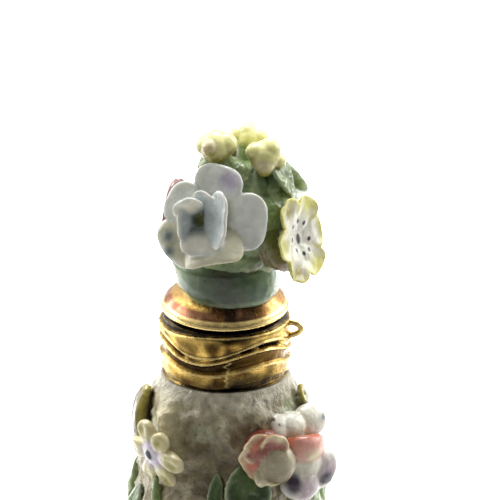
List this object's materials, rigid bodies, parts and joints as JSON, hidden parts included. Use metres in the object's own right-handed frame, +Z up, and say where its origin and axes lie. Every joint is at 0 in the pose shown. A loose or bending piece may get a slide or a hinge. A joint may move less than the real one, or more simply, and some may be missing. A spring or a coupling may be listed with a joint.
{
  "type": "porcelain perfume bottle",
  "caption": "Small porcelain scent bottle like a trunk encrusted with flowers and leaves, with a gilt neck band and a bouquet stopper in a domed mount.",
  "frame": {"origin": "centre of the underside, on the bottle's axis", "axes": "+Z up along the bottle's axis, -Y towards the front with the rose, +X towards the right side with the wire loop"},
  "size_m": [0.0312, 0.0312, 0.0818],
  "materials": {
    "porcelain": "glazed grey-white porcelain with painted flowers and leaves",
    "gilt": "worn gilding with dark hollows",
    "copper_gilt": "coppery worn gilding with a bright rim",
    "stopper_porcelain": "glazed porcelain, painted green, white and yellow"
  },
  "bodies": {
    "root": {"bottle": "porcelain", "neck_mount": "gilt", "chain_loop": "gilt", "stopper_mount": "copper_gilt", "stopper": "stopper_porcelain"}
  },
  "joints": []
}
